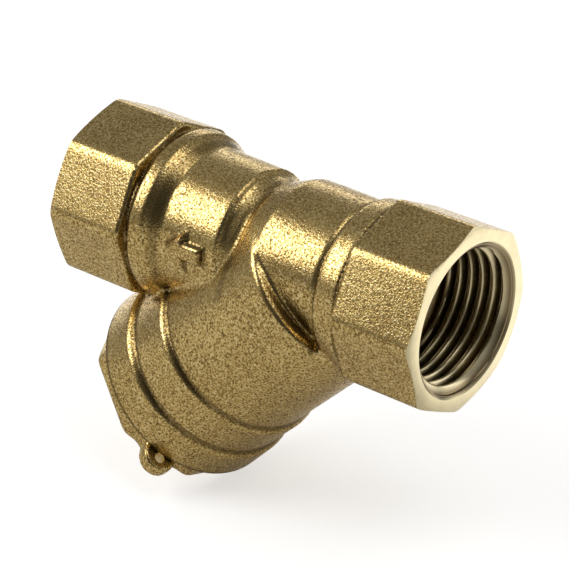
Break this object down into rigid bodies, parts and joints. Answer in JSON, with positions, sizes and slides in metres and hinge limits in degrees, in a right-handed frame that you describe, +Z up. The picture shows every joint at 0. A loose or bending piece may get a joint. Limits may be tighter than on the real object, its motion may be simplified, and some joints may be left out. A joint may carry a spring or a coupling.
{
  "type": "magnetic y strainer",
  "caption": "Forged brass Y strainer with internally threaded octagonal ends, a screw cap on its inclined branch, and a perforated screen around a magnet rod.",
  "frame": {"origin": "centre of the inlet end face", "axes": "+X out of the inlet along the run, +Z up, branch leaning down towards the outlet in the XZ plane"},
  "size_m": [0.0625, 0.03, 0.0504],
  "materials": {
    "forged_brass": "sand-blasted forging with turned end faces and threads",
    "gasket": "matt black sealing ring",
    "stainless": "plain stainless steel",
    "mesh": "fine woven stainless wire",
    "pole_steel": "turned steel",
    "magnet": "bright nickel plate"
  },
  "bodies": {
    "housing": {"valve_body": "forged_brass"},
    "screen": {"screen_cage": "stainless", "screen_mesh": "mesh", "screen_top_ring": "stainless", "screen_foot_ring": "stainless"},
    "gasket": {"cap_gasket": "gasket"},
    "cap": {"cap": "forged_brass", "magnet_stem": "stainless", "stem_spacer": "stainless", "pole_plate_1": "pole_steel", "pole_plate_2": "pole_steel", "pole_plate_3": "pole_steel", "pole_plate_4": "pole_steel", "pole_plate_5": "pole_steel", "magnet_1": "magnet", "magnet_2": "magnet", "magnet_3": "magnet", "magnet_4": "magnet", "lock_washer": "stainless", "end_nut": "stainless"}
  },
  "joints": [
    {"name": "screen_pull", "type": "slide", "parent": "housing", "child": "screen", "axis": [-0.7071, 0, -0.7071], "range_m": [0, 0.04]},
    {"name": "cap_travel", "type": "slide", "parent": "screen", "child": "gasket", "axis": [-0.7071, 0, -0.7071], "range_m": [0, 0.008]},
    {"name": "cap_turn", "type": "hinge", "parent": "gasket", "child": "cap", "pos_m": [-0.0209, 0, 0], "axis": [-0.7071, 0, -0.7071], "range_deg": [0, 1920]}
  ],
  "couplings": [
    {"joint": "cap_travel", "follows": "cap_turn", "m_per_rad": 0.00023873}
  ]
}
